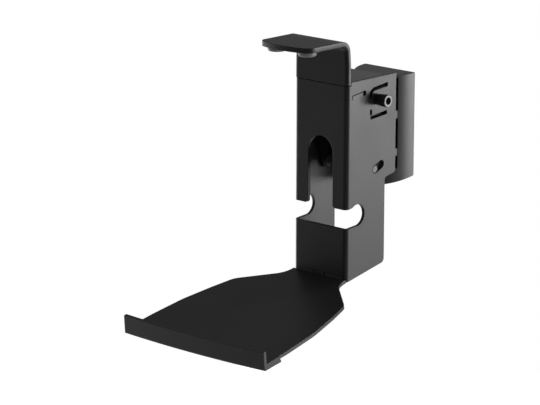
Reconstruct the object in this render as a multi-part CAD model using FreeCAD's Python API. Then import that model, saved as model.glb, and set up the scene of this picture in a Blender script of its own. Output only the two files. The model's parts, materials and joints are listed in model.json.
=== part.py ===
import FreeCAD, Part
import math
import os

V = FreeCAD.Vector

# Frame: millimetres, X to the right, Y into the wall, Z up.
# The wall is the plane Y = 0 and Z = 0 is the middle of the wall unit.

# Column: a folded U of sheet steel, open towards the wall
COLUMN_W = 60.0
SHEET = 3.0
BEND_R = 4.0
FRONT_Y = -90.5            # front face of the column
SEAM_Z = 47.3              # joint line between hook and column
UPPER_DEPTH = 64.0
LOWER_DEPTH = 50.0
RIM_RISE = 2.75            # side walls above the joint line
RIM_START = 5.0            # where the raised side walls begin, behind the hook
SEAM_GAP = 0.3
STEP_UPPER = -84.5         # start of the step in the rear edge, below the joint line
STEP_R = 3.0
TAB_REACH = 2.0
TAB_SPANS = ((-37.6, -30.7), (-70.7, -64.1))

# Front wall: cable arch, and a full cut below it
ARCH_R = 14.1
ARCH_TOP = -46.6
CUT_TOP = -107.8
CUT_BOTTOM = -125.0
LEG_CORNER_R = 2.6

# Side notch: round end, mouth sloping with the shelf
NOTCH_CENTRE = (14.2, -114.3)
NOTCH_R = 9.6

# Shelf: slopes down to the front
SHELF_SLOPE = 11.2
SHELF_DROP = 169.0         # shelf top below the joint line, at the column's front face
SHELF_REACH = 157.4        # along the slope, from the column's front face to the lip
SHELF_BEND_R = 1.2
SHELF_FRONT_HALF_W = 78.6
SHELF_NECK = (10.2, 19.1)  # straight run beside the column, radius of the hollow corner
SHELF_FLARE = ((14.9, 40.0, 13.0), (9.0, 62.0, 60.0), (2.7, 92.0, 90.0), (0.1, 128.0, 120.0))
LOWER_CORNER_R = 4.0
RELIEF_W = 12.0
RELIEF_R = 1.6

# SHELF_FLARE holds (in from the front's half width, distance from the column, corner radius)

# Front lip: a bowed strip that caps the shelf's front edge
LIP_T = 3.0
LIP_FOOT_T = 2.0
LIP_BOW = 2.4              # the middle stands this far in front of the ends
LIP_RISE = 11.2            # above the shelf's top face
LIP_LEAN = 4.2             # degrees, top leans away from the column
LIP_FOOT = 16.8            # length of the foot below the shelf
LIP_CHEEK_GAP = 0.15
LIP_CHEEK_RISE = 0.4
LIP_CHEEK_T = 1.55
LIP_HALF_W = SHELF_FRONT_HALF_W + LIP_CHEEK_GAP + LIP_CHEEK_T
LIP_BEND_R = 1.2
LIP_SCREW_X = (-60.0, 0.0, 60.0)
LIP_SCREW_BACK = 8.9       # screws behind the lip's inner face
LIP_SCREW_R = 1.5
LIP_SCREW_HEAD_R = 3.1

# Side wall details, given as (behind the front face, below the joint line)
SQUARE_HOLE = (20.5, 24.1, -11.0, -6.9)
SLIT_W = 0.5
SLIT_DEPTH = 0.6
TONGUE_SLOT_TOP = ((52.6, -3.7), (33.2, -5.9), (29.3, -8.9), (29.3, -14.4),
                   (32.0, -14.8), (32.2, -10.4), (34.5, -8.8), (52.7, -7.2))
TONGUE_SLOT_SIDE = ((29.6, -24.6), (32.2, -24.6), (32.2, -29.2), (29.6, -29.2))
TONGUE_SLOT_LOW = ((29.7, -30.3), (52.0, -28.1), (52.1, -31.3), (31.0, -33.2))

# Tilt: pivot studs, limit pins in curved slots, clamp screw
PIVOT = (14.5, -14.0)
PIN_AT = (37.3, -77.9)
PIN_R = 3.6
PIN_CLEAR = 0.08
TILT_RANGE = 7.0
CLAMP_AT = (38.3, -16.4)
CLAMP_HEAD_R = 5.6
CLAMP_HEAD_L = 13.0
CLAMP_SHANK_R = 3.0
CLAMP_HOLE_R = 3.3
CLAMP_SOCKET = 5.0         # across flats
STUD_R = 4.0
STUD_CLEAR = 0.05
RING_R = 6.6
RING_T = 0.9
SPIGOT_R = 3.0

# Tilt bracket (yoke): web across the back, two cheeks; swivel tongues in its web
YOKE_T = SHEET
YOKE_BEND_R = 3.8
CHEEK_GAP = 0.5            # between the column's wall and the cheek
YOKE_REAR = 49.9
YOKE_TOP = -9.0
YOKE_BOTTOM = -84.0
CHEEK_FRONT_LOW = 31.2
EAR_R = 8.5

# Swivel
SWIVEL_Y = -20.0
TONGUE_HALF_W = 10.0
TONGUE_Z = 20.0            # outer faces of the tongues
BOLT_R = 4.0
BOLT_HOLE_R = 4.05
FRICTION_T = 1.0
WASHER_T = 1.6
WASHER_R = 8.0
BOLT_HEAD_AF = 13.0
BOLT_HEAD_H = 5.3
NUT_H = 8.0
SPACER_R = 7.0

# Wall plate
PLATE_W = 48.0
PLATE_H = 82.0
PLATE_T = 3.0
PLATE_CORNER_R = 3.0
SCREW_X = 17.0
SCREW_Z = 33.0
SCREW_HOLE_R = 2.75
EAR_HALF_W = 12.0

# Wall cover: elliptical shell; both ends slope down to the front
COVER_HALF_W = PLATE_W / 2 + 4.5
COVER_REACH = 34.0
COVER_TOP = PLATE_H / 2 + 5.3         # at the wall
COVER_BOTTOM = -PLATE_H / 2 - 4.5     # at the wall
COVER_TOP_SLOPE = 1.5
COVER_BOTTOM_SLOPE = 11.2
COVER_T = 2.0
COVER_END_R = 0.6
WINDOW_HALF_W = 17.0
WINDOW_Z = 27.5
WINDOW_BACK = -24.0
COVER_RIB = 1.4

# Hook
HOOK_T = 4.4
HOOK_TOP = 38.8            # top face above the joint line
HOOK_TOP_HALF_W = 28.8
HOOK_SIDE_REACH = 44.4
HOOK_MID_REACH = 51.0
HOOK_BEND_R = 4.8          # inner radius
HOOK_CORNER_R = 4.5
HOOK_EDGE_R = 3.0
HOOK_TRAVEL = 20.0
PAD_R = 7.9
PAD_T = 4.5
PAD_X = 17.2
PAD_REACH = 36.7

# Hook slide: tongue behind the column's front wall
SLIDE_HALF_W = 20.0
SLIDE_T = 3.0
SLIDE_DOWN = -42.0
SLIDE_UP = 22.0
SHIM_T = HOOK_T - SHEET    # fills the step behind the front wall
SHIM_REACH = 10.0
SLIDE_X = 11.0
SLIDE_Z = -14.0
SLIDE_STUD_R = 2.5
SLIDE_SLOT_R = 2.75
SLIDE_NUT_AF = 8.0
SLIDE_NUT_H = 4.0
SLIDE_WASHER_R = 5.0
SLIDE_WASHER_T = 1.0

# Cap between the side walls
CAP_FRONT = 8.0
CAP_REAR = 53.7
CAP_T = 2.0
CAP_TOP = 2.0
CAP_LIP = 2.4

HALF = COLUMN_W / 2
INNER = HALF - SHEET
SLOPE = math.tan(math.radians(SHELF_SLOPE))
CHEEK_X = INNER - CHEEK_GAP
OUT = "parts"


def at(depth, rise, x=0.0):
    """Point given behind the column's front face and above the joint line."""
    return V(x, FRONT_Y + depth, SEAM_Z + rise)


def wire(points):
    """Closed polygon; a point may carry a corner radius as a second item."""
    corners = [p if isinstance(p, tuple) else (p, 0.0) for p in points]
    count = len(corners)
    edges = []
    previous_end = None
    first_start = None
    for i in range(count):
        here, radius = corners[i]
        before = corners[i - 1][0]
        after = corners[(i + 1) % count][0]
        if radius > 0:
            a = (before - here).normalize()
            b = (after - here).normalize()
            half = a.getAngle(b) / 2
            start = here + a * (radius / math.tan(half))
            end = here + b * (radius / math.tan(half))
            centre = here + (a + b).normalize() * (radius / math.sin(half))
            middle = centre + (here - centre).normalize() * radius
            arc = Part.Arc(start, middle, end).toShape()
        else:
            start = here
            end = here
            arc = None
        if previous_end is None:
            first_start = start
        else:
            edges.append(Part.makeLine(previous_end, start))
        if arc is not None:
            edges.append(arc)
        previous_end = end
    edges.append(Part.makeLine(previous_end, first_start))
    return Part.Wire(edges)


def side_prism(points, x0, x1):
    """Extrudes a side view outline of (depth, rise[, radius]) from x0 to x1."""
    shaped = [(at(p[0], p[1], x0), p[2] if len(p) > 2 else 0.0) for p in points]
    return Part.Face(wire(shaped)).extrude(V(x1 - x0, 0, 0))


def plan_prism(points, z0, z1):
    """Extrudes a plan outline of (x, y[, radius]) from z0 to z1."""
    shaped = [(V(p[0], p[1], z0), p[2] if len(p) > 2 else 0.0) for p in points]
    return Part.Face(wire(shaped)).extrude(V(0, 0, z1 - z0))


def front_prism(points, y0, y1):
    """Extrudes a front view outline of (x, rise[, radius]) from y0 to y1."""
    shaped = [(V(p[0], y0, SEAM_Z + p[1]), p[2] if len(p) > 2 else 0.0) for p in points]
    return Part.Face(wire(shaped)).extrude(V(0, y1 - y0, 0))


def box(x0, x1, y0, y1, z0, z1):
    return Part.makeBox(x1 - x0, y1 - y0, z1 - z0, V(x0, y0, z0))


def rod_x(radius, depth, rise, x0, x1):
    return Part.makeCylinder(radius, x1 - x0, at(depth, rise, x0), V(1, 0, 0))


def rod_y(radius, x, z, y0, y1):
    return Part.makeCylinder(radius, y1 - y0, V(x, y0, z), V(0, 1, 0))


def rod_z(radius, x, y, z0, z1):
    return Part.makeCylinder(radius, z1 - z0, V(x, y, z0), V(0, 0, 1))


def hexagon(flats, centre, axis, length, turn=0.0):
    """Hexagonal prism along an axis, starting at centre."""
    radius = flats / math.sqrt(3)
    side = axis.cross(V(0, 0, 1))
    if side.Length < 0.5:
        side = V(1, 0, 0)
    up = axis.cross(side)
    points = []
    for i in range(6):
        angle = math.radians(60 * i + turn)
        points.append(centre + side * (radius * math.cos(angle)) + up * (radius * math.sin(angle)))
    return Part.Face(wire(points)).extrude(axis * length)


def hex_piece(flats, centre, axis, length):
    """Hexagonal nut or head with its corners turned down at both ends."""
    body = hexagon(flats, centre, axis, length)
    face = flats / 2 * 0.98
    spread = 3 * length
    low = Part.makeCone(face, face + spread, 2 * length, centre, axis)
    high = Part.makeCone(face + spread, face, 2 * length, centre - axis * length, axis)
    return body.common(low).common(high)


def mirror_x(shape):
    return shape.mirror(V(0, 0, 0), V(1, 0, 0))


def both_sides(shape):
    return [shape, mirror_x(shape)]


def one(shape):
    """Cleans a boolean result and returns its single solid."""
    shape = shape.removeSplitter()
    if len(shape.Solids) != 1:
        raise ValueError("expected one solid, found %d" % len(shape.Solids))
    return shape.Solids[0]


def on_shelf(shape):
    """Moves a shape drawn with the shelf's top face as Z = 0 into its place."""
    moved = shape.copy()
    moved.rotate(V(0, 0, 0), V(1, 0, 0), SHELF_SLOPE)
    moved.translate(at(0, -SHELF_DROP))
    return moved


def edges_where(shape, test):
    return [e for e in shape.Edges if test(e)]


def along(edge, axis, tolerance=0.02):
    """True for a straight edge parallel to an axis."""
    if edge.Curve.TypeId != "Part::GeomLine":
        return False
    run = edge.Vertexes[-1].Point - edge.Vertexes[0].Point
    return abs(abs(run.dot(axis)) - run.Length) < tolerance


# Column and shelf


def folded_u(half, face, mouth, bend, low, high):
    """U section of sheet: web at y = face, legs running to y = mouth."""
    way = 1 if mouth > face else -1
    outer = plan_prism(((-half, face, bend), (half, face, bend), (half, mouth), (-half, mouth)),
                       low, high)
    legs = half - SHEET
    web = face + way * SHEET
    inner = plan_prism(((-legs, web, bend - SHEET), (legs, web, bend - SHEET),
                        (legs, mouth + way), (-legs, mouth + way)), low - 1, high + 1)
    return outer.cut(inner)


def column_side_view():
    """Outline that trims the U section, seen from the side."""
    under = SHELF_DROP + SHEET / math.cos(math.radians(SHELF_SLOPE))
    points = [(0, -SEAM_GAP), (RIM_START, -SEAM_GAP), (RIM_START, RIM_RISE),
              (UPPER_DEPTH, RIM_RISE, 1.0)]
    for low, high in reversed(sorted(TAB_SPANS)):
        points += [(UPPER_DEPTH, high), (UPPER_DEPTH + TAB_REACH, high, 0.5),
                   (UPPER_DEPTH + TAB_REACH, low, 0.5), (UPPER_DEPTH, low)]
    step_low = STEP_UPPER - (UPPER_DEPTH - LOWER_DEPTH) * SLOPE
    points += [(UPPER_DEPTH, STEP_UPPER, STEP_R), (LOWER_DEPTH, step_low, STEP_R),
               (LOWER_DEPTH, -under + LOWER_DEPTH * SLOPE, LOWER_CORNER_R), (0, -under)]
    return side_prism(points, -HALF - 1, HALF + 1)


def front_cuts():
    """Arch and the cut across the front wall below it."""
    y0 = FRONT_Y - 1
    y1 = FRONT_Y + SHEET + 0.5
    arch_z = ARCH_TOP - ARCH_R
    arch = rod_y(ARCH_R, 0, SEAM_Z + arch_z, y0, y1)
    slot = front_prism(((-ARCH_R, arch_z), (ARCH_R, arch_z),
                        (ARCH_R, CUT_BOTTOM + 1), (-ARCH_R, CUT_BOTTOM + 1)), y0, y1)
    flare = LEG_CORNER_R
    mouth = front_prism(((-ARCH_R, CUT_TOP + flare), (ARCH_R, CUT_TOP + flare),
                         (ARCH_R + flare, CUT_TOP), (ARCH_R + flare, CUT_BOTTOM + 1),
                         (-ARCH_R - flare, CUT_BOTTOM + 1), (-ARCH_R - flare, CUT_TOP)), y0, y1)
    for side in (-1, 1):
        mouth = mouth.cut(rod_y(flare, side * (ARCH_R + flare), SEAM_Z + CUT_TOP + flare,
                                y0 - 1, y1 + 1))
    return arch.fuse(slot).fuse(mouth)


def notch_cut():
    """Notch through both side walls and across the front wall."""
    depth, rise = NOTCH_CENTRE
    x1 = HALF + 1
    hole = rod_x(NOTCH_R, depth, rise, -x1, x1)
    mouth = side_prism(((-1, CUT_TOP - 0.2), (4.0, CUT_TOP + 0.3), (11.1, CUT_TOP + 1.4),
                        (15.9, rise + NOTCH_R * 0.985), (depth + 2, rise),
                        (depth + NOTCH_R * 0.19, rise - NOTCH_R * 0.98),
                        (0, CUT_BOTTOM), (-1, CUT_BOTTOM)), -x1, x1)
    return hole.fuse(mouth)


def wall_slots(side):
    """Openings in one side wall; side is +1 for the right-hand wall."""
    x0, x1 = sorted((side * (INNER - 0.5), side * (HALF + 1)))
    cuts = [pin_slot(x0, x1)]
    for points in (TONGUE_SLOT_TOP, TONGUE_SLOT_LOW):
        cuts.append(side_prism([(p[0], p[1], 0.6) for p in points], x0, x1))
    cuts.append(side_prism([(p[0], p[1], 0.8) for p in TONGUE_SLOT_SIDE], x0, x1))
    near, far, low, high = SQUARE_HOLE
    cuts.append(side_prism(((near, low), (far, low), (far, high), (near, high)), x0, x1))
    cuts.append(rod_x(CLAMP_HOLE_R, CLAMP_AT[0], CLAMP_AT[1], x0, x1))
    skin = sorted((side * (HALF - SLIT_DEPTH), side * (HALF + 1)))
    slit = side_prism(((near, high - 0.3), (6.4, -8.8), (6.4, -12.4), (6.4 + SLIT_W, -12.4),
                       (6.4 + SLIT_W, -8.8 - SLIT_W), (near, high - 0.3 - SLIT_W)), *skin)
    cuts.append(slit)
    return cuts


def pin_slot(x0, x1):
    """Slot that follows the tilt pivot, from the pin's rest place over its travel."""
    radius = PIN_R + PIN_CLEAR
    dy = PIN_AT[0] - PIVOT[0]
    dz = PIN_AT[1] - PIVOT[1]
    reach = math.hypot(dy, dz)
    start = math.atan2(dz, dy)
    return arc_slot(reach, start, start + math.radians(TILT_RANGE), radius, x0, x1)


def arc_slot(reach, start, end, radius, x0, x1):
    """Slot of round ends around the tilt pivot, between two angles in radians."""
    points = []
    steps = 6
    turns = [start + (end - start) * i / steps for i in range(steps + 1)]
    for turn in turns:
        points.append((PIVOT[0] + (reach + radius) * math.cos(turn),
                       PIVOT[1] + (reach + radius) * math.sin(turn)))
    for turn in reversed(turns):
        points.append((PIVOT[0] + (reach - radius) * math.cos(turn),
                       PIVOT[1] + (reach - radius) * math.sin(turn)))
    body = side_prism(points, x0, x1)
    for turn in (start, end):
        body = body.fuse(rod_x(radius, PIVOT[0] + reach * math.cos(turn),
                               PIVOT[1] + reach * math.sin(turn), x0, x1))
    return body.removeSplitter()


def shelf_outline():
    """Half outline of the shelf, (x, distance along the slope)."""
    lengthen = 1 / math.cos(math.radians(SHELF_SLOPE))
    front = (SHELF_REACH + LIP_BOW + 2.0) / lengthen
    points = [(HALF, SHELF_NECK[0], SHELF_NECK[1])]
    points += [(SHELF_FRONT_HALF_W - inset, v, radius) for inset, v, radius in SHELF_FLARE]
    points.append((SHELF_FRONT_HALF_W, front, 0.0))
    return [(p[0], p[1] * lengthen, p[2]) for p in points]


def lip_radius():
    """Radius of the lip's inner face in plan, from its width and bow."""
    return (LIP_HALF_W ** 2 + LIP_BOW ** 2) / (2 * LIP_BOW)


def lip_centre():
    """Centre of the lip's bow, with the shelf drawn flat."""
    return V(0, -SHELF_REACH - LIP_BOW + lip_radius(), 0)


def lip_bow(x):
    """How far the bowed lip stands in front of its ends, at a distance x from the middle."""
    return LIP_BOW - lip_radius() + math.sqrt(lip_radius() ** 2 - x * x)


def shelf_plate():
    """Flared shelf plate, drawn flat and then sloped."""
    half = shelf_outline()
    points = [(HALF, 0.0)] + [(x, -v, r) for x, v, r in half]
    points += [(-x, -v, r) for x, v, r in reversed(half)] + [(-HALF, 0.0)]
    bow = Part.makeCylinder(lip_radius(), SHEET + 2, lip_centre() - V(0, 0, SHEET + 1))
    return on_shelf(plan_prism(points, -SHEET, 0).common(bow))


def shelf_bend():
    """Sheet between the front wall and the shelf, with its bend radius."""
    slope = math.radians(SHELF_SLOPE)
    run = 8.0
    under = SHEET / math.cos(slope)
    points = [(0, CUT_BOTTOM - 20), (SHEET, CUT_BOTTOM - 20),
              (SHEET, -SHELF_DROP - under + SHEET * SLOPE, SHELF_BEND_R + SHEET * 0.9),
              (-run, -SHELF_DROP - under - run * SLOPE), (-run, -SHELF_DROP - run * SLOPE),
              (0, -SHELF_DROP, SHELF_BEND_R)]
    return side_prism(points, -HALF + BEND_R, HALF - BEND_R)


def relief_slot():
    """Dog-bone relief in the middle of the bend."""
    z0 = SEAM_Z - SHELF_DROP
    tall = Part.makeCylinder(RELIEF_R, 8, V(-RELIEF_W / 2, FRONT_Y - 0.6, z0 - 5.5), V(0, 0.0, 1))
    tall = tall.fuse(Part.makeCylinder(RELIEF_R, 8, V(RELIEF_W / 2, FRONT_Y - 0.6, z0 - 5.5),
                                       V(0, 0, 1)))
    return tall.fuse(box(-RELIEF_W / 2, RELIEF_W / 2, FRONT_Y - 1.3, FRONT_Y + 0.1,
                         z0 - 5.5, z0 + 2.5))


def lip_screw_holes(radius, depth):
    holes = []
    for x in LIP_SCREW_X:
        place = V(x, -SHELF_REACH + LIP_SCREW_BACK - lip_bow(x), -SHEET)
        hole = Part.makeCylinder(radius, depth, place, V(0, 0, 1))
        holes.append(on_shelf(hole))
    return holes


def arm_column():
    """Column and shelf, folded from one sheet."""
    shell = folded_u(HALF, FRONT_Y, FRONT_Y + UPPER_DEPTH + 20, BEND_R,
                     SEAM_Z - SHELF_DROP - 30, SEAM_Z + 30).common(column_side_view())
    body = shell.fuse(shelf_bend()).fuse(shelf_plate())
    body = body.cut(front_cuts()).cut(notch_cut()).cut(relief_slot())
    for side in (-1, 1):
        for tool in wall_slots(side):
            body = body.cut(tool)
        for x in (SLIDE_X,):
            body = body.cut(rod_y(SLIDE_STUD_R, side * x, SEAM_Z + SLIDE_Z,
                                  FRONT_Y + 1.2, FRONT_Y + SHEET + 1))
    x0 = INNER - 1
    spigots = rod_x(SPIGOT_R, PIVOT[0], PIVOT[1], x0, INNER + 2.0)
    for tool in both_sides(spigots) + lip_screw_holes(LIP_SCREW_R + 0.1, 2.2):
        body = body.cut(tool)
    return one(body)


def column_cap():
    """Plate that closes the column's top, with a short lip along each wall."""
    width = INNER
    top = SEAM_Z + CAP_TOP
    y0 = FRONT_Y + CAP_FRONT
    y1 = FRONT_Y + CAP_REAR
    plate = box(-width, width, y0, y1, top - CAP_T, top)
    lip = box(width - CAP_T, width, y0 + 2, y1 - 6, top - CAP_T - CAP_LIP, top - CAP_T)
    return one(plate.fuse(lip).fuse(mirror_x(lip)))


def rear_edge_strips():
    """Soft strips along the rear edges of the side walls, between the tabs."""
    spans = []
    high = -2.0
    for low_tab, high_tab in reversed(sorted(TAB_SPANS)):
        spans.append((high_tab + 0.2, high))
        high = low_tab - 0.2
    spans.append((STEP_UPPER + STEP_R, high))
    strips = []
    for low, top in spans:
        strip = box(INNER + 0.2, HALF - 0.3, FRONT_Y + UPPER_DEPTH,
                    FRONT_Y + UPPER_DEPTH + TAB_REACH - 0.1, SEAM_Z + low, SEAM_Z + top)
        strips += both_sides(strip)
    return strips


def front_lip():
    """Lip: upright strip, foot below the shelf and a cheek at each end."""
    half = LIP_HALF_W
    low = -SHEET - LIP_FOOT_T
    back = -SHELF_REACH - LIP_BOW
    foot = back + LIP_FOOT
    lean = math.tan(math.radians(SHELF_SLOPE - LIP_LEAN))
    profile = [(back, 0.0), (back + lean * LIP_RISE, LIP_RISE),
               (back - LIP_T + lean * LIP_RISE, LIP_RISE),
               (back - LIP_T + lean * low, low, LIP_BEND_R),
               (foot, low), (foot, -SHEET), (back, -SHEET)]
    shaped = [(V(0, p[0], p[1]), p[2] if len(p) > 2 else 0.0) for p in profile]
    face = Part.Face(wire(shaped))
    turn = math.degrees(math.asin((half + 5) / lip_radius()))
    face.rotate(lip_centre(), V(0, 0, 1), -turn)
    body = face.revolve(lip_centre(), V(0, 0, 1), 2 * turn)
    body = body.common(box(-half, half, back - 20, foot + 20, low - 1, LIP_RISE + 1))
    edge = SHELF_FRONT_HALF_W + LIP_CHEEK_GAP
    cheek = box(edge, half, -SHELF_REACH - 0.8, foot + LIP_BOW - 0.5, -SHEET, LIP_CHEEK_RISE)
    body = body.fuse(cheek).fuse(mirror_x(cheek))
    for x in LIP_SCREW_X:
        place = V(x, -SHELF_REACH + LIP_SCREW_BACK - lip_bow(x), low)
        body = body.cut(Part.makeCylinder(LIP_SCREW_R + 0.2, LIP_FOOT_T + 1, place, V(0, 0, 1)))
        sink = LIP_SCREW_HEAD_R - LIP_SCREW_R
        body = body.cut(Part.makeCone(LIP_SCREW_HEAD_R + 0.1, LIP_SCREW_R + 0.1, sink, place,
                                      V(0, 0, 1)))
    return one(on_shelf(body))


def lip_screws():
    """Countersunk screws that hold the lip from below."""
    screws = []
    low = -SHEET - LIP_FOOT_T
    for x in LIP_SCREW_X:
        foot = V(x, -SHELF_REACH + LIP_SCREW_BACK - lip_bow(x), low)
        sink = LIP_SCREW_HEAD_R - LIP_SCREW_R
        head = Part.makeCone(LIP_SCREW_HEAD_R, LIP_SCREW_R + 0.05, sink, foot, V(0, 0, 1))
        shank = Part.makeCylinder(LIP_SCREW_R, LIP_FOOT_T + 2.0, foot, V(0, 0, 1))
        screw = head.fuse(shank).cut(hexagon(2.0, foot, V(0, 0, 1), 1.4))
        screws.append(on_shelf(one(screw)))
    return screws


# Hook


def hook_front_view():
    """Width of the hook over its height: the top is a little narrower."""
    top = HOOK_TOP + 1
    return front_prism(((-HALF, 0.0), (HALF, 0.0), (HALF, 18.0, 30.0), (HOOK_TOP_HALF_W, 34.0, 30.0),
                        (HOOK_TOP_HALF_W, top), (-HOOK_TOP_HALF_W, top),
                        (-HOOK_TOP_HALF_W, 34.0, 30.0), (-HALF, 18.0, 30.0)),
                       FRONT_Y - 60, FRONT_Y + 10)


def hook_plan():
    """Plan outline with the curved front edge."""
    side = FRONT_Y - HOOK_SIDE_REACH
    mid = FRONT_Y - HOOK_MID_REACH
    half = HOOK_TOP_HALF_W
    z0 = SEAM_Z - 1
    rear = FRONT_Y + 10
    bow = Part.Arc(V(-half, side, z0), V(0, mid, z0), V(half, side, z0)).toShape()
    lines = [Part.makeLine(V(half, side, z0), V(half, FRONT_Y - 6, z0)),
             Part.makeLine(V(half, FRONT_Y - 6, z0), V(HALF + 1, FRONT_Y - 6, z0)),
             Part.makeLine(V(HALF + 1, FRONT_Y - 6, z0), V(HALF + 1, rear, z0)),
             Part.makeLine(V(HALF + 1, rear, z0), V(-HALF - 1, rear, z0)),
             Part.makeLine(V(-HALF - 1, rear, z0), V(-HALF - 1, FRONT_Y - 6, z0)),
             Part.makeLine(V(-HALF - 1, FRONT_Y - 6, z0), V(-half, FRONT_Y - 6, z0)),
             Part.makeLine(V(-half, FRONT_Y - 6, z0), V(-half, side, z0))]
    return Part.Face(Part.Wire([bow] + lines)).extrude(V(0, 0, HOOK_TOP + 10))


def top_hook():
    """Bent plate: upright, bend and top leg."""
    low = HOOK_TOP - HOOK_T
    far = -HOOK_MID_REACH - 2
    profile = [(0, 0), (HOOK_T, 0), (HOOK_T, HOOK_TOP, HOOK_BEND_R + HOOK_T), (far, HOOK_TOP),
               (far, low), (0, low, HOOK_BEND_R)]
    body = side_prism(profile, -HALF - 1, HALF + 1)
    body = body.common(hook_front_view()).common(hook_plan())
    z0 = SEAM_Z - 1
    z1 = SEAM_Z + low - HOOK_BEND_R
    for side in (-1, 1):
        x0, x1 = sorted((side * (HALF - HOOK_EDGE_R), side * (HALF + 1)))
        corner = box(x0, x1, FRONT_Y - 1, FRONT_Y + HOOK_EDGE_R, z0, z1)
        corner = corner.cut(rod_z(HOOK_EDGE_R, side * (HALF - HOOK_EDGE_R),
                                  FRONT_Y + HOOK_EDGE_R, z0 - 1, z1 + 1))
        body = body.cut(corner)

    def tip_corner(edge):
        if not along(edge, V(0, 0, 1)):
            return False
        p = edge.Vertexes[0].Point
        return abs(p.y - (FRONT_Y - HOOK_SIDE_REACH)) < 0.01
    body = body.removeSplitter()
    return one(body.makeFillet(HOOK_CORNER_R, edges_where(body, tip_corner)))


def hook_slide():
    """Slotted tongue welded behind the hook's upright."""
    y0 = FRONT_Y + HOOK_T
    y1 = y0 + SLIDE_T
    body = front_prism(((-SLIDE_HALF_W, SLIDE_DOWN, 3.0), (SLIDE_HALF_W, SLIDE_DOWN, 3.0),
                        (SLIDE_HALF_W, SLIDE_UP, 3.0), (-SLIDE_HALF_W, SLIDE_UP, 3.0)), y0, y1)
    for side in (-1, 1):
        x = side * SLIDE_X
        low = SLIDE_Z - HOOK_TRAVEL
        slot = box(x - SLIDE_SLOT_R, x + SLIDE_SLOT_R, y0 - 1, y1 + 1, SEAM_Z + low, SEAM_Z + SLIDE_Z)
        slot = slot.fuse(rod_y(SLIDE_SLOT_R, x, SEAM_Z + low, y0 - 1, y1 + 1))
        slot = slot.fuse(rod_y(SLIDE_SLOT_R, x, SEAM_Z + SLIDE_Z, y0 - 1, y1 + 1))
        body = body.cut(slot)
    return one(body)


def hook_pads():
    """Domed rubber bumpers under the hook's top leg."""
    z1 = SEAM_Z + HOOK_TOP - HOOK_T
    y = FRONT_Y - PAD_REACH
    pad = rod_z(PAD_R, PAD_X, y, z1 - PAD_T, z1)
    rim = edges_where(pad, lambda e: abs(e.BoundBox.ZMax - (z1 - PAD_T)) < 0.01 and
                      e.Curve.TypeId == "Part::GeomCircle")
    return both_sides(pad.makeFillet(2.0, rim))


def slide_shim():
    """Smooth strip between the front wall and the tongue."""
    y0 = FRONT_Y + SHEET
    middle = SEAM_Z + SLIDE_Z
    body = box(-SLIDE_HALF_W + 1, SLIDE_HALF_W - 1, y0, y0 + SHIM_T,
               middle - SHIM_REACH, middle + SHIM_REACH)
    for side in (-1, 1):
        body = body.cut(rod_y(SLIDE_SLOT_R, side * SLIDE_X, SEAM_Z + SLIDE_Z, y0 - 1, y0 + 3))
    return one(body)


def slide_studs():
    """Studs pressed into the front wall from behind."""
    y0 = FRONT_Y + 1.2
    y1 = FRONT_Y + HOOK_T + SLIDE_T + SLIDE_WASHER_T + SLIDE_NUT_H + 1.5
    return both_sides(rod_y(SLIDE_STUD_R, SLIDE_X, SEAM_Z + SLIDE_Z, y0, y1))


def slide_washers():
    y0 = FRONT_Y + HOOK_T + SLIDE_T
    ring = rod_y(SLIDE_WASHER_R, SLIDE_X, SEAM_Z + SLIDE_Z, y0, y0 + SLIDE_WASHER_T)
    hole = rod_y(SLIDE_STUD_R + 0.15, SLIDE_X, SEAM_Z + SLIDE_Z, y0 - 1, y0 + 3)
    return both_sides(ring.cut(hole))


def slide_nuts():
    y0 = FRONT_Y + HOOK_T + SLIDE_T + SLIDE_WASHER_T
    centre = V(SLIDE_X, y0, SEAM_Z + SLIDE_Z)
    nut = hex_piece(SLIDE_NUT_AF, centre, V(0, 1, 0), SLIDE_NUT_H)
    return both_sides(nut.cut(rod_y(SLIDE_STUD_R, SLIDE_X, SEAM_Z + SLIDE_Z, y0 - 1, y0 + 6)))


# Tilt


def yoke_side_view():
    """Outline that trims the bracket's U section, seen from the side."""
    body = side_prism(((PIVOT[0], PIVOT[1] + EAR_R), (YOKE_REAR, YOKE_TOP),
                       (YOKE_REAR, YOKE_BOTTOM), (CHEEK_FRONT_LOW, YOKE_BOTTOM, 3.0),
                       (PIVOT[0] - 1.0, PIVOT[1] - 1.0)), -HALF, HALF)
    return body.fuse(rod_x(EAR_R, PIVOT[0], PIVOT[1], -HALF, HALF))


def tilt_yoke():
    """Bracket folded from one sheet: a web and two cheeks with round ears."""
    rear = FRONT_Y + YOKE_REAR
    body = folded_u(CHEEK_X, rear, FRONT_Y, YOKE_BEND_R, SEAM_Z - 100, SEAM_Z)
    body = body.common(yoke_side_view()).removeSplitter()
    dy = CLAMP_AT[0] - PIVOT[0]
    dz = CLAMP_AT[1] - PIVOT[1]
    angle = math.atan2(dz, dy)
    travel = math.radians(TILT_RANGE)
    x0 = CHEEK_X - YOKE_T - 1
    x1 = CHEEK_X + 1
    body = body.cut(rod_x(STUD_R + STUD_CLEAR, PIVOT[0], PIVOT[1], -x1, x1))
    body = body.cut(rod_x(PIN_R, PIN_AT[0], PIN_AT[1], -x1, x1))
    body = body.cut(arc_slot(math.hypot(dy, dz), angle - travel, angle, CLAMP_HOLE_R, x0, x1))
    for side in (-1, 1):
        z0, z1 = sorted((side * TONGUE_Z, side * (TONGUE_Z - YOKE_T)))
        body = body.cut(box(-TONGUE_HALF_W, TONGUE_HALF_W, rear - YOKE_T - 1, rear + 1, z0, z1))
    return one(body)


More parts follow.
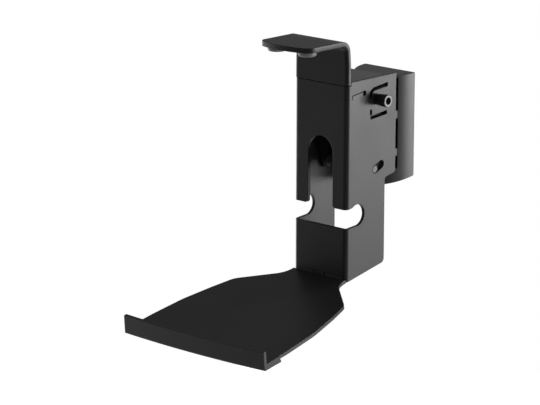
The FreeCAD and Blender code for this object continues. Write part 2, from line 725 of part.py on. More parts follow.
def swivel_tongues():
    """Two flat tongues, welded in slots of the tilt bracket's web."""
    web = FRONT_Y + YOKE_REAR - YOKE_T
    low = TONGUE_Z - YOKE_T
    tongue = box(-TONGUE_HALF_W, TONGUE_HALF_W, web, SWIVEL_Y, low, TONGUE_Z)
    tongue = tongue.fuse(rod_z(TONGUE_HALF_W, 0, SWIVEL_Y, low, TONGUE_Z))
    tongue = one(tongue.cut(rod_z(BOLT_HOLE_R, 0, SWIVEL_Y, low - 1, TONGUE_Z + 1)))
    return [tongue, tongue.mirror(V(0, 0, 0), V(0, 0, 1))]


def limit_pins():
    """Pins riveted in the cheeks; they run in the column's curved slots."""
    depth, rise = PIN_AT
    inner = CHEEK_X - YOKE_T
    pin = rod_x(PIN_R, depth, rise, inner, HALF - 0.2)
    rim = edges_where(pin, lambda e: abs(e.BoundBox.XMin - (HALF - 0.2)) < 0.01 and
                      e.Curve.TypeId == "Part::GeomCircle")
    pin = pin.makeFillet(0.4, rim)
    pin = pin.fuse(rod_x(PIN_R + 1.6, depth, rise, inner - 1.5, inner))
    return both_sides(one(pin))


def pivot_studs():
    """Shouldered studs pressed into the side walls from inside."""
    depth, rise = PIVOT
    tip = CHEEK_X - YOKE_T - 2.2
    stud = rod_x(STUD_R, depth, rise, tip, INNER)
    stud = stud.fuse(rod_x(SPIGOT_R, depth, rise, INNER - 0.5, INNER + 2.0))
    groove = rod_x(STUD_R + 1, depth, rise, tip + 0.9, tip + 1.9)
    groove = groove.cut(rod_x(STUD_R - 0.6, depth, rise, tip, tip + 3))
    return both_sides(one(stud.cut(groove)))


def pivot_rings():
    """Retaining rings in the studs' grooves."""
    depth, rise = PIVOT
    x0 = CHEEK_X - YOKE_T - 1.25
    ring = rod_x(RING_R, depth, rise, x0, x0 + RING_T)
    ring = ring.cut(rod_x(STUD_R - 0.55, depth, rise, x0 - 1, x0 + 2))
    gap = side_prism(((depth - 1.5, rise - 8), (depth + 1.5, rise - 8),
                      (depth + 1.5, rise), (depth - 1.5, rise)), x0 - 1, x0 + 2)
    return both_sides(one(ring.cut(gap)))


def pivot_washers():
    """Thin bearing washers between the column's walls and the cheeks."""
    depth, rise = PIVOT
    ring = rod_x(EAR_R - 0.5, depth, rise, CHEEK_X, INNER)
    return both_sides(ring.cut(rod_x(STUD_R + 0.1, depth, rise, CHEEK_X - 1, INNER + 1)))


def clamp_screw():
    """Long round-headed socket screw that locks the tilt."""
    depth, rise = CLAMP_AT
    tip = HALF + CLAMP_HEAD_L
    body = rod_x(CLAMP_HEAD_R, depth, rise, HALF, tip)
    rim = edges_where(body, lambda e: e.Curve.TypeId == "Part::GeomCircle" and
                      abs(e.BoundBox.XMin - tip) < 0.01)
    body = body.makeChamfer(0.5, rim)
    body = body.fuse(rod_x(CLAMP_SHANK_R, depth, rise, CHEEK_X - YOKE_T - 7.0, HALF + 1))
    body = body.cut(hexagon(CLAMP_SOCKET, at(depth, rise, tip + 1), V(-1, 0, 0), 7.0, 30))
    body = body.cut(Part.makeCone(CLAMP_SOCKET / 2 + 1.2, CLAMP_SOCKET / 2, 1.2,
                                  at(depth, rise, tip), V(-1, 0, 0)))
    return one(body)


def clamp_washer():
    depth, rise = CLAMP_AT
    x1 = CHEEK_X - YOKE_T
    ring = rod_x(6.0, depth, rise, x1 - 1.0, x1)
    return ring.cut(rod_x(CLAMP_SHANK_R + 0.2, depth, rise, x1 - 2, x1 + 1))


def clamp_nut():
    depth, rise = CLAMP_AT
    x1 = CHEEK_X - YOKE_T - 1.0
    nut = hex_piece(10.0, at(depth, rise, x1), V(-1, 0, 0), 5.0)
    return one(nut.cut(rod_x(CLAMP_SHANK_R, depth, rise, x1 - 8, x1 + 1)))


# Swivel and wall unit


def ear_heights():
    """Lower and upper face of the wall bracket's upper ear."""
    low = TONGUE_Z + FRICTION_T
    return low, low + SHEET


def wall_plate():
    """Flat plate that is screwed to the wall."""
    half_w = PLATE_W / 2
    half_h = PLATE_H / 2
    z = -SEAM_Z
    plate = front_prism(((-half_w, z - half_h, PLATE_CORNER_R), (half_w, z - half_h, PLATE_CORNER_R),
                         (half_w, z + half_h, PLATE_CORNER_R), (-half_w, z + half_h, PLATE_CORNER_R)),
                        -PLATE_T, 0)
    for x in (-SCREW_X, SCREW_X):
        for height in (-SCREW_Z, SCREW_Z):
            plate = plate.cut(rod_y(SCREW_HOLE_R, x, height, -5, 1))
    return one(plate)


def wall_bracket():
    """U-shaped bracket welded on the wall plate; its ears hold the swivel bolt."""
    low, high = ear_heights()
    rear = -PLATE_T - FRONT_Y
    web = rear - SHEET
    tip = SWIVEL_Y - EAR_HALF_W - FRONT_Y
    up = high - SEAM_Z
    down = -high - SEAM_Z
    body = side_prism(((rear, down, BEND_R), (rear, up, BEND_R), (tip, up), (tip, low - SEAM_Z),
                       (web, low - SEAM_Z, BEND_R - SHEET), (web, -low - SEAM_Z, BEND_R - SHEET),
                       (tip, -low - SEAM_Z), (tip, down)), -EAR_HALF_W, EAR_HALF_W)
    plan = box(-EAR_HALF_W, EAR_HALF_W, SWIVEL_Y, 0, -high - 1, high + 1)
    plan = plan.fuse(rod_z(EAR_HALF_W, 0, SWIVEL_Y, -high - 1, high + 1))
    body = body.common(plan).cut(rod_z(BOLT_HOLE_R, 0, SWIVEL_Y, -high - 1, high + 1))
    return one(body)


def friction_washers():
    z0 = TONGUE_Z
    ring = rod_z(TONGUE_HALF_W - 0.5, 0, SWIVEL_Y, z0, z0 + FRICTION_T)
    ring = ring.cut(rod_z(BOLT_HOLE_R + 0.1, 0, SWIVEL_Y, z0 - 1, z0 + 2))
    return [ring, ring.mirror(V(0, 0, 0), V(0, 0, 1))]


def plain_washers():
    z0 = ear_heights()[1]
    ring = rod_z(WASHER_R, 0, SWIVEL_Y, z0, z0 + WASHER_T)
    ring = ring.cut(rod_z(BOLT_HOLE_R + 0.1, 0, SWIVEL_Y, z0 - 1, z0 + 3))
    return [ring, ring.mirror(V(0, 0, 0), V(0, 0, 1))]


def swivel_bolt():
    """Hexagon bolt through ears, washers and tongues."""
    seat = ear_heights()[1] + WASHER_T
    head = hex_piece(BOLT_HEAD_AF, V(0, SWIVEL_Y, seat), V(0, 0, 1), BOLT_HEAD_H)
    shank = rod_z(BOLT_R, 0, SWIVEL_Y, -seat - NUT_H - 1.5, seat + 1)
    return one(head.fuse(shank))


def swivel_nut():
    seat = ear_heights()[1] + WASHER_T
    nut = hex_piece(BOLT_HEAD_AF, V(0, SWIVEL_Y, -seat), V(0, 0, -1), NUT_H)
    return one(nut.cut(rod_z(BOLT_R, 0, SWIVEL_Y, -seat - NUT_H - 1, -seat + 1)))


def swivel_spacer():
    """Tube that keeps the two tongues apart."""
    z = TONGUE_Z - YOKE_T
    tube = rod_z(SPACER_R, 0, SWIVEL_Y, -z, z)
    return tube.cut(rod_z(BOLT_HOLE_R, 0, SWIVEL_Y, -z - 1, z + 1))


def cover_body(inset):
    """Elliptical body with sloping ends, made smaller all round by inset."""
    across = COVER_HALF_W - inset
    reach = COVER_REACH - inset
    tall = 80.0
    ellipse = Part.Ellipse(V(0, -reach, -tall), V(across, 0, -tall), V(0, 0, -tall))
    arc = Part.Arc(ellipse, math.radians(-90), math.radians(90)).toShape()
    ends = [v.Point for v in arc.Vertexes]
    base = Part.Face(Part.Wire([arc, Part.makeLine(ends[-1], ends[0])]))
    body = base.extrude(V(0, 0, 2 * tall))
    top = math.radians(COVER_TOP_SLOPE)
    bottom = math.radians(COVER_BOTTOM_SLOPE)
    z1 = COVER_TOP - inset / math.cos(top)
    z0 = COVER_BOTTOM + inset / math.cos(bottom)
    far = 60.0
    points = (V(-40, 1, z0 + math.tan(bottom)), V(-40, 1, z1 + math.tan(top)),
              V(-40, -far, z1 - far * math.tan(top)), V(-40, -far, z0 - far * math.tan(bottom)))
    slab = Part.Face(wire(points)).extrude(V(80, 0, 0))
    return body.common(slab)


def wall_cover():
    """Thin curved shell that hides the wall plate and the swivel."""
    outer = cover_body(0.0)

    def rim(edge):
        p = edge.BoundBox
        return p.YMin < -5 and p.XLength > 20 and edge.Curve.TypeId != "Part::GeomLine"
    outer = outer.makeFillet(COVER_END_R, edges_where(outer, rim))
    inner = cover_body(COVER_T)
    body = outer.cut(inner)
    body = body.cut(box(-WINDOW_HALF_W, WINDOW_HALF_W, -COVER_REACH - 1, WINDOW_BACK,
                        -WINDOW_Z, WINDOW_Z))
    inside = PLATE_W / 2 + 0.2
    for height in (-26.0, 26.0):
        rib = box(inside - 2.2, COVER_HALF_W - 0.8, -PLATE_T - 0.1 - COVER_RIB, -PLATE_T - 0.1,
                  height - 5, height + 5)
        body = body.fuse(rib).fuse(mirror_x(rib))
    return one(body)


# Output


def save(name, pieces):
    """Writes one node; pieces is a solid or a list of separate solids."""
    if not isinstance(pieces, list):
        pieces = [pieces]
    solids = []
    for piece in pieces:
        solids += piece.Solids
    for solid in solids:
        if not solid.isValid():
            raise ValueError("%s is not a valid solid" % name)
    shape = solids[0] if len(solids) == 1 else Part.makeCompound(solids)
    shape.exportStep("%s/%s.step" % (OUT, name))
    print("%-20s solids %d  volume %.0f" % (name, len(solids), shape.Volume))


NODES = (
    ("wall_plate", wall_plate), ("wall_bracket", wall_bracket), ("wall_cover", wall_cover),
    ("swivel_bolt", swivel_bolt),
    ("swivel_nut", swivel_nut), ("plain_washers", plain_washers),
    ("friction_washers", friction_washers), ("swivel_spacer", swivel_spacer),
    ("tilt_yoke", tilt_yoke), ("swivel_tongues", swivel_tongues),
    ("limit_pins", limit_pins), ("arm_column", arm_column),
    ("column_cap", column_cap), ("rear_edge_strips", rear_edge_strips),
    ("pivot_studs", pivot_studs), ("pivot_rings", pivot_rings), ("pivot_washers", pivot_washers),
    ("clamp_screw", clamp_screw), ("clamp_washer", clamp_washer), ("clamp_nut", clamp_nut),
    ("slide_shim", slide_shim), ("slide_studs", slide_studs), ("slide_washers", slide_washers),
    ("slide_nuts", slide_nuts), ("front_lip", front_lip), ("lip_screws", lip_screws),
    ("top_hook", top_hook), ("hook_slide", hook_slide), ("hook_pads", hook_pads),
)

os.makedirs(OUT, exist_ok=True)
for node, build in NODES:
    save(node, build())
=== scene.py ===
"""Looks of a wall bracket for a table-top speaker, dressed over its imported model."""

import json
import logging
import math
from dataclasses import dataclass
from enum import Enum
from typing import Sequence

import bmesh
import bpy
from mathutils import Matrix, Vector


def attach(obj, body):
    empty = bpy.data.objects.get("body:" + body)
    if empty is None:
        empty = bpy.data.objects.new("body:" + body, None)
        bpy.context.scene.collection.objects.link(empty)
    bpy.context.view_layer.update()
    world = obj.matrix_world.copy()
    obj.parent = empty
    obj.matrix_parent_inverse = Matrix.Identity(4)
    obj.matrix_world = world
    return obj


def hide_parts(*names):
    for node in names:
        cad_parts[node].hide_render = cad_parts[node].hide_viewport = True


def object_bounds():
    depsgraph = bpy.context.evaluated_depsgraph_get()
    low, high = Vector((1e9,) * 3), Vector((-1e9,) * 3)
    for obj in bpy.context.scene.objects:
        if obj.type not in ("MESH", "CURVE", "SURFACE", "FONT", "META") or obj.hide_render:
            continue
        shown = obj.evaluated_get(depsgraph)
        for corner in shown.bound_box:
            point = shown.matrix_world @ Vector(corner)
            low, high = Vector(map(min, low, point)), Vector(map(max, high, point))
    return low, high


logging.basicConfig(level=logging.INFO, format="%(message)s")
LOG = logging.getLogger("bracket")

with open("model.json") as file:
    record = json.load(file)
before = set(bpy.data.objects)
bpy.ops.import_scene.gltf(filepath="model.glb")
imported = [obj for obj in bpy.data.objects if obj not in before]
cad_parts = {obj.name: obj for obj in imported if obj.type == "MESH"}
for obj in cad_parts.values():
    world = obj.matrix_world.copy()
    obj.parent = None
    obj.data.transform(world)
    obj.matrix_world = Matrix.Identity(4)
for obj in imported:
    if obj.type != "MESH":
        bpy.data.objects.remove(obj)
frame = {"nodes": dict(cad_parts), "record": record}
CAD_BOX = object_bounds()
MM = 0.001
QUARTER = 90.0

Triple = tuple[float, float, float]
Pair = tuple[float, float]


class Body(str, Enum):
    """Rigid bodies that carry the finer pieces."""

    YOKE = "swivel_yoke"
    ARM = "arm"
    HOOK = "hook"


class Slot(str, Enum):
    """Material slots of the record."""

    COAT = "black_coat"
    SCREW = "screw_black"
    PIN = "pin_steel"
    ZINC = "zinc"
    COVER = "cover_plastic"
    CAP = "cap_plastic"
    NYLON = "nylon"
    RUBBER = "rubber"


# Node trees


def add_node(tree: bpy.types.NodeTree, kind: str,
             values: dict[str | int, object] | None = None,
             operation: str | None = None) -> bpy.types.Node:
    """Adds a node to a tree.

    Args:
        tree: The tree that gets the node.
        kind: Blender's name for the node's type.
        values: Plain values of its inputs, by name or place.
        operation: What a Math or Vector Math node works out.

    Returns:
        The new node.
    """
    node = tree.nodes.new(kind)
    if operation:
        node.operation = operation
    for label, value in (values or {}).items():
        node.inputs[label].default_value = value
    return node


def link(tree: bpy.types.NodeTree, source: bpy.types.NodeSocket,
         target: bpy.types.NodeSocket) -> None:
    """Joins two sockets of one tree."""
    tree.links.new(source, target)


def new_group(name: str, inputs: Sequence[tuple[str, str, float]],
              outputs: Sequence[tuple[str, str]]) -> bpy.types.ShaderNodeTree:
    """Makes an empty shader group with named sockets.

    Args:
        name: The group's name.
        inputs: Name, kind and default of each input; kind is Float or Vector.
        outputs: Name and kind of each output.

    Returns:
        The group, with its input and output nodes placed.
    """
    group = bpy.data.node_groups.new(name, "ShaderNodeTree")
    for label, kind, default in inputs:
        socket = group.interface.new_socket(label, in_out="INPUT",
                                            socket_type=f"NodeSocket{kind}")
        if kind == "Float":
            socket.default_value = default
    for label, kind in outputs:
        group.interface.new_socket(label, in_out="OUTPUT", socket_type=f"NodeSocket{kind}")
    group.nodes.new("NodeGroupInput").name = "in"
    group.nodes.new("NodeGroupOutput").name = "out"
    return group


# Finishes


@dataclass(frozen=True)
class Effects:
    """Shader groups that several finishes share, each built once."""

    fine_detail: float = 2.0
    fine_roughness: float = 0.55
    broad_detail: float = 3.0
    broad_roughness: float = 0.5

    def grain(self) -> bpy.types.ShaderNodeTree:
        """Fine grain of a powder coat or moulded face.

        Returns:
            A group with inputs Vector, Fine and Broad (cells per metre), and outputs Height
            (the grain) and Patch (slow variation), both from 0 to 1.
        """
        group = new_group("coat_grain",
                          [("Vector", "Vector", 0.0), ("Fine", "Float", 1500.0),
                           ("Broad", "Float", 40.0)],
                          [("Height", "Float"), ("Patch", "Float")])
        start = group.nodes["in"]
        end = group.nodes["out"]
        for scale, detail, roughness, result in (
                ("Fine", self.fine_detail, self.fine_roughness, "Height"),
                ("Broad", self.broad_detail, self.broad_roughness, "Patch")):
            noise = add_node(group, "ShaderNodeTexNoise",
                             {"Detail": detail, "Roughness": roughness})
            link(group, start.outputs["Vector"], noise.inputs["Vector"])
            link(group, start.outputs[scale], noise.inputs["Scale"])
            link(group, noise.outputs["Fac"], end.inputs[result])
        return group


@dataclass(frozen=True)
class Finish:
    """A surface finish with grain, slow variation and a satin or glossy shine.

    Colours are linear. The grain's fine and broad are cells per metre, its depth is in metres,
    and the rounding of the edges is in millimetres. The spreads are whole widths.
    """

    name: str
    slot: Slot
    colour: Triple
    roughness: float
    metallic: float = 0.0
    specular: float = 0.3
    fine: float = 1500.0
    broad: float = 40.0
    bump: float = 0.10
    bump_depth: float = 0.0002
    colour_spread: float = 0.12
    rough_spread: float = 0.03
    patch_range: Pair = (0.3, 0.7)
    edge_round: float = 0.0
    edge_samples: int = 8

    def material(self, grain_group: bpy.types.ShaderNodeTree) -> bpy.types.Material:
        """Builds the material.

        Args:
            grain_group: The shared grain.

        Returns:
            The finished material.
        """
        made = bpy.data.materials.new(self.name)
        made.use_nodes = True
        tree = made.node_tree
        shader = tree.nodes["Principled BSDF"]
        shader.inputs["Metallic"].default_value = self.metallic
        shader.inputs["Specular IOR Level"].default_value = self.specular
        place = add_node(tree, "ShaderNodeTexCoord")
        grain = tree.nodes.new("ShaderNodeGroup")
        grain.node_tree = grain_group
        grain.inputs["Fine"].default_value = self.fine
        grain.inputs["Broad"].default_value = self.broad
        link(tree, place.outputs["Object"], grain.inputs["Vector"])
        self.tint(tree, grain, shader)
        self.shine(tree, grain, shader)
        self.relief(tree, grain, shader)
        return made

    def tint(self, tree: bpy.types.NodeTree, grain: bpy.types.Node,
             shader: bpy.types.Node) -> None:
        """Varies the colour slightly with the grain's slow patches."""
        mix = tree.nodes.new("ShaderNodeMix")
        mix.data_type = "RGBA"
        low = 1.0 - self.colour_spread / 2
        high = 1.0 + self.colour_spread / 2
        mix.inputs["A"].default_value = (*[c * low for c in self.colour], 1.0)
        mix.inputs["B"].default_value = (*[c * high for c in self.colour], 1.0)
        link(tree, grain.outputs["Patch"], mix.inputs["Factor"])
        link(tree, mix.outputs["Result"], shader.inputs["Base Color"])

    def shine(self, tree: bpy.types.NodeTree, grain: bpy.types.Node,
              shader: bpy.types.Node) -> None:
        """Varies the roughness slightly with the grain's slow patches."""
        rough = add_node(tree, "ShaderNodeMapRange",
                         {"From Min": self.patch_range[0], "From Max": self.patch_range[1],
                          "To Min": self.roughness - self.rough_spread / 2,
                          "To Max": self.roughness + self.rough_spread / 2})
        link(tree, grain.outputs["Patch"], rough.inputs["Value"])
        link(tree, rough.outputs["Result"], shader.inputs["Roughness"])

    def relief(self, tree: bpy.types.NodeTree, grain: bpy.types.Node,
               shader: bpy.types.Node) -> None:
        """Raises the grain, over edges that are softly rounded where the finish asks for it."""
        bump = add_node(tree, "ShaderNodeBump",
                        {"Strength": self.bump, "Distance": self.bump_depth})
        link(tree, grain.outputs["Height"], bump.inputs["Height"])
        if self.edge_round:
            rounded = add_node(tree, "ShaderNodeBevel", {"Radius": self.edge_round * MM})
            rounded.samples = self.edge_samples
            link(tree, rounded.outputs["Normal"], bump.inputs["Normal"])
        link(tree, bump.outputs["Normal"], shader.inputs["Normal"])


FINISHES = (
    Finish("powder_coat", Slot.COAT, (0.010, 0.010, 0.0104), 0.42, specular=0.36,
           edge_round=0.5),
    Finish("blackened_screw", Slot.SCREW, (0.008, 0.008, 0.0083), 0.27, specular=0.42),
    Finish("pin_face", Slot.PIN, (0.020, 0.020, 0.0205), 0.32, specular=0.40),
    Finish("zinc_plate", Slot.ZINC, (0.42, 0.43, 0.45), 0.55, metallic=0.6),
    Finish("cover_plastic", Slot.COVER, (0.034, 0.034, 0.0348), 0.38, specular=0.36,
           edge_round=0.5),
    Finish("cap_plastic", Slot.CAP, (0.048, 0.048, 0.049), 0.42, specular=0.75,
           edge_round=0.4),
    Finish("nylon", Slot.NYLON, (0.60, 0.58, 0.53), 0.5),
    # Pitch black without shine, so that the rear strips that wear it paint the shadowed gap
    # between column and cover.
    Finish("rubber", Slot.RUBBER, (0.0006, 0.0006, 0.0006), 0.9, specular=0.0),
)
PAD_FINISH = Finish("pad_silicone", Slot.RUBBER, (0.13, 0.13, 0.132), 0.45, specular=0.4,
                    bump=0.05)
# Darker, duller copy of the powder coat for the yoke, tongues and slide: painted shade, so that
# they read black through the slots and gaps.
SHADED_COAT_FINISH = Finish("powder_coat_inner", Slot.COAT, (0.008, 0.008, 0.0083), 0.5,
                      specular=0.12)
PAINTED_SHADE_NODES = ("tilt_yoke", "swivel_tongues", "hook_slide")


class Wardrobe:
    """All materials: one for each slot, the pads' own, and a darker, duller copy of the coat
    that paints deep shade on the inner parts.
    """

    def __init__(self) -> None:
        """Builds every material once."""
        grain = Effects().grain()
        self.by_slot = {finish.slot: finish.material(grain) for finish in FINISHES}
        self.pads = PAD_FINISH.material(grain)
        # Painted shade: the darker copy of the coat for the inner parts.
        self.inner = SHADED_COAT_FINISH.material(grain)

    def dress_frame(self) -> None:
        """Gives every carried-over node the material of its slot, or, for the inner parts, the
        darker copy of the coat that paints their shade.
        """
        for part in frame["record"]["subparts"]:
            node = frame["nodes"][part["node"]]
            material = self.by_slot[Slot(part["material_slot"])]
            # Inner parts get the painted-shade copy of the coat instead of their slot's.
            if part["node"] in PAINTED_SHADE_NODES:
                material = self.inner
            node.data.materials.clear()
            node.data.materials.append(material)
            LOG.info("node %s wears %s", part["node"], material.name)


# Making and handing over pieces


def mesh_piece(work: bmesh.types.BMesh, name: str,
               material: bpy.types.Material) -> bpy.types.Object:
    """Turns worked faces into a piece in the scene.

    Args:
        work: The faces, which are freed.
        name: The piece's name.
        material: Its material.

    Returns:
        The piece.
    """
    mesh = bpy.data.meshes.new(name)
    work.to_mesh(mesh)
    work.free()
    mesh.materials.append(material)
    piece = bpy.data.objects.new(name, mesh)
    bpy.context.scene.collection.objects.link(piece)
    return piece


def mark_sharp(work: bmesh.types.BMesh, degrees: float) -> None:
    """Keeps edges crisp where their faces meet at more than an angle."""
    for edge in work.edges:
        edge.smooth = edge.calc_face_angle(0.0) < math.radians(degrees)


def plain_mesh(piece: bpy.types.Object) -> None:
    """Replaces an object's live modifiers by the mesh that they make."""
    bpy.context.view_layer.update()
    view = bpy.context.evaluated_depsgraph_get()
    done = bpy.data.meshes.new_from_object(piece.evaluated_get(view))
    done.name = piece.name
    piece.modifiers.clear()
    piece.data = done


def hand_over(piece: bpy.types.Object, body: Body, slot: Slot, *nodes: str) -> None:
    """Puts a finished piece on its body and hides the nodes it stands for."""
    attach(piece, body.value)
    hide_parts(*nodes)
    LOG.info("piece %s: %d faces", piece.name, len(piece.data.polygons))


# Turned pieces and rows of them


class RingShape(Enum):
    """Outline of one ring of a turned piece."""

    ROUND = "round"
    HEX = "hex"


@dataclass(frozen=True)
class Ring:
    """One closed ring of a turned piece, in millimetres.

    The size is its radius, or half its width across flats; the height is along the axis.
    """

    size: float
    height: float
    shape: RingShape = RingShape.ROUND

    def points(self, sides: int) -> list[Vector]:
        """Lists the ring's points in metres, as many as there are sides."""
        found = []
        for index in range(sides):
            turn = 2 * math.pi * index / sides
            reach = self.size
            if self.shape is RingShape.HEX:
                off = (turn + math.pi / 6) % (math.pi / 3) - math.pi / 6
                reach = self.size / math.cos(off)
            across = Vector((reach * math.cos(turn), reach * math.sin(turn), self.height))
            found.append(across * MM)
        return found


@dataclass(frozen=True)
class Turned:
    """A turned piece: rings from one end to the other, closed by a face at each end."""

    name: str
    rings: tuple[Ring, ...]
    sides: int = 48
    sharp: float = 40.0

    def shape(self) -> bpy.types.Object:
        """Builds the piece along +Z at the origin, as an object that stays out of the scene."""
        work = bmesh.new()
        loops = [[work.verts.new(point) for point in ring.points(self.sides)]
                 for ring in self.rings]
        for below, above in zip(loops, loops[1:]):
            for index in range(self.sides):
                after = (index + 1) % self.sides
                work.faces.new((below[index], below[after], above[after], above[index]))
        work.faces.new(loops[0][::-1])
        work.faces.new(loops[-1])
        bmesh.ops.recalc_face_normals(work, faces=work.faces)
        for face in work.faces:
            face.smooth = len(face.verts) == 4
        mark_sharp(work, self.sharp)
        mesh = bpy.data.meshes.new(self.name)
        work.to_mesh(mesh)
        work.free()
        return bpy.data.objects.new(self.name, mesh)


@dataclass(frozen=True)
class Row:
    """A straight or bowed row of equal pieces, made by Geometry Nodes.

    Lengths are in millimetres and angles in degrees. Each next copy is turned by turn. The bow
    is one over twice its radius, per metre, so that 0 is a straight row.
    """

    name: str
    count: int
    start: Triple
    step: Triple
    stand: Triple = (0.0, 0.0, 0.0)
    turn: Triple = (0.0, 0.0, 0.0)
    bow: float = 0.0
    lean: float = 0.0
    place: Triple = (0.0, 0.0, 0.0)

    def tree(self) -> bpy.types.NodeTree:
        """Builds the row's node tree, with named inputs for its sizes."""
        tree = bpy.data.node_groups.new(f"{self.name}_row", "GeometryNodeTree")
        tree.interface.new_socket("Geometry", in_out="OUTPUT",
                                  socket_type="NodeSocketGeometry")
        for label, kind in (("Shape", "Object"), ("Count", "Int"), ("Start", "Vector"),
                            ("Step", "Vector"), ("Stand", "Vector"), ("Turn", "Vector"),
                            ("Bow", "Float"), ("Lean", "Vector"), ("Place", "Vector"),
                            ("Finish", "Material")):
            tree.interface.new_socket(label, in_out="INPUT", socket_type=f"NodeSocket{kind}")
        given = add_node(tree, "NodeGroupInput").outputs
        line = add_node(tree, "GeometryNodeMeshLine")
        link(tree, given["Count"], line.inputs["Count"])
        link(tree, given["Start"], line.inputs["Start Location"])
        link(tree, given["Step"], line.inputs["Offset"])
        bowed = add_node(tree, "GeometryNodeSetPosition")
        link(tree, line.outputs["Mesh"], bowed.inputs["Geometry"])
        link(tree, self.bow_offset(tree, given["Bow"]), bowed.inputs["Offset"])
        shape = add_node(tree, "GeometryNodeObjectInfo")
        link(tree, given["Shape"], shape.inputs["Object"])
        number = add_node(tree, "GeometryNodeInputIndex")
        turned = add_node(tree, "ShaderNodeVectorMath", operation="MULTIPLY_ADD")
        link(tree, given["Turn"], turned.inputs[0])
        link(tree, number.outputs["Index"], turned.inputs[1])
        link(tree, given["Stand"], turned.inputs[2])
        copies = add_node(tree, "GeometryNodeInstanceOnPoints")
        link(tree, bowed.outputs["Geometry"], copies.inputs["Points"])
        link(tree, shape.outputs["Geometry"], copies.inputs["Instance"])
        link(tree, turned.outputs["Vector"], copies.inputs["Rotation"])
        moved = add_node(tree, "GeometryNodeTransform")
        link(tree, copies.outputs["Instances"], moved.inputs["Geometry"])
        link(tree, given["Lean"], moved.inputs["Rotation"])
        link(tree, given["Place"], moved.inputs["Translation"])
        real = add_node(tree, "GeometryNodeRealizeInstances")
        link(tree, moved.outputs["Geometry"], real.inputs["Geometry"])
        dressed = add_node(tree, "GeometryNodeSetMaterial")
        link(tree, real.outputs["Geometry"], dressed.inputs["Geometry"])
        link(tree, given["Finish"], dressed.inputs["Material"])
        end = add_node(tree, "NodeGroupOutput")
        link(tree, dressed.outputs["Geometry"], end.inputs["Geometry"])
        return tree

    def bow_offset(self, tree: bpy.types.NodeTree,
                   bow: bpy.types.NodeSocket) -> bpy.types.NodeSocket:
        """Moves a point back by its squared distance from the middle times the bow.

        Args:
            tree: The row's node tree.
            bow: The bow's input.

        Returns:
            The offset of each point.
        """
        here = add_node(tree, "GeometryNodeInputPosition")
        parts = add_node(tree, "ShaderNodeSeparateXYZ")
        link(tree, here.outputs["Position"], parts.inputs[0])
        square = add_node(tree, "ShaderNodeMath", operation="MULTIPLY")
        link(tree, parts.outputs["X"], square.inputs[0])
        link(tree, parts.outputs["X"], square.inputs[1])
        back = add_node(tree, "ShaderNodeMath", operation="MULTIPLY")
        link(tree, square.outputs[0], back.inputs[0])
        link(tree, bow, back.inputs[1])
        offset = add_node(tree, "ShaderNodeCombineXYZ")
        link(tree, back.outputs[0], offset.inputs["Y"])
        return offset.outputs[0]

    def build(self, shape: bpy.types.Object, material: bpy.types.Material) -> bpy.types.Object:
        """Makes the row as one plain mesh.

        Args:
            shape: The piece that is repeated; it is removed afterwards.
            material: The material of every copy.

        Returns:
            The row's object, in the scene.
        """
        piece = bpy.data.objects.new(self.name, bpy.data.meshes.new(self.name))
        bpy.context.scene.collection.objects.link(piece)
        modifier = piece.modifiers.new("row", "NODES")
        modifier.node_group = self.tree()
        values = {"Shape": shape, "Count": self.count, "Start": [v * MM for v in self.start],
                  "Step": [v * MM for v in self.step],
                  "Stand": [math.radians(v) for v in self.stand],
                  "Turn": [math.radians(v) for v in self.turn], "Bow": self.bow,
                  "Lean": [math.radians(self.lean), 0.0, 0.0],
                  "Place": [v * MM for v in self.place], "Finish": material}
        for item in modifier.node_group.interface.items_tree:
            if item.item_type == "SOCKET" and item.in_out == "INPUT":
                modifier[item.identifier] = values[item.name]
        plain_mesh(piece)
        bpy.data.objects.remove(shape)
        return piece


# Sub-assemblies


@dataclass
class SubAssembly:
    """What the sub-assemblies share, in millimetres.

    Depths are measured from the column's front face and heights from the joint line between
    column and hook.
    """

    wardrobe: Wardrobe
    front: float = -90.5
    seam: float = 47.3


CLAMP_RINGS = (
    Ring(3.0, 0.0), Ring(3.0, 13.5),                        # shank
    Ring(4.7, 13.5), Ring(4.75, 13.6), Ring(5.55, 25.4),    # head, which widens outwards
    Ring(5.4, 26.0), Ring(4.9, 26.5),                       # rounded rim
    Ring(3.3, 26.5), Ring(3.0, 26.1), Ring(3.0, 22.0),      # round mouth
    Ring(2.5, 21.6, RingShape.HEX), Ring(2.5, 19.5, RingShape.HEX),
)
LIP_SCREW_RINGS = (
    Ring(1.5, 4.0), Ring(1.5, 1.62),                        # shank
    Ring(2.95, 0.14), Ring(2.95, 0.04), Ring(2.85, 0.0),    # countersunk head
    Ring(1.1, 0.0),                                         # mouth of the socket
    Ring(1.0, 0.1, RingShape.HEX), Ring(1.0, 1.3, RingShape.HEX),
)


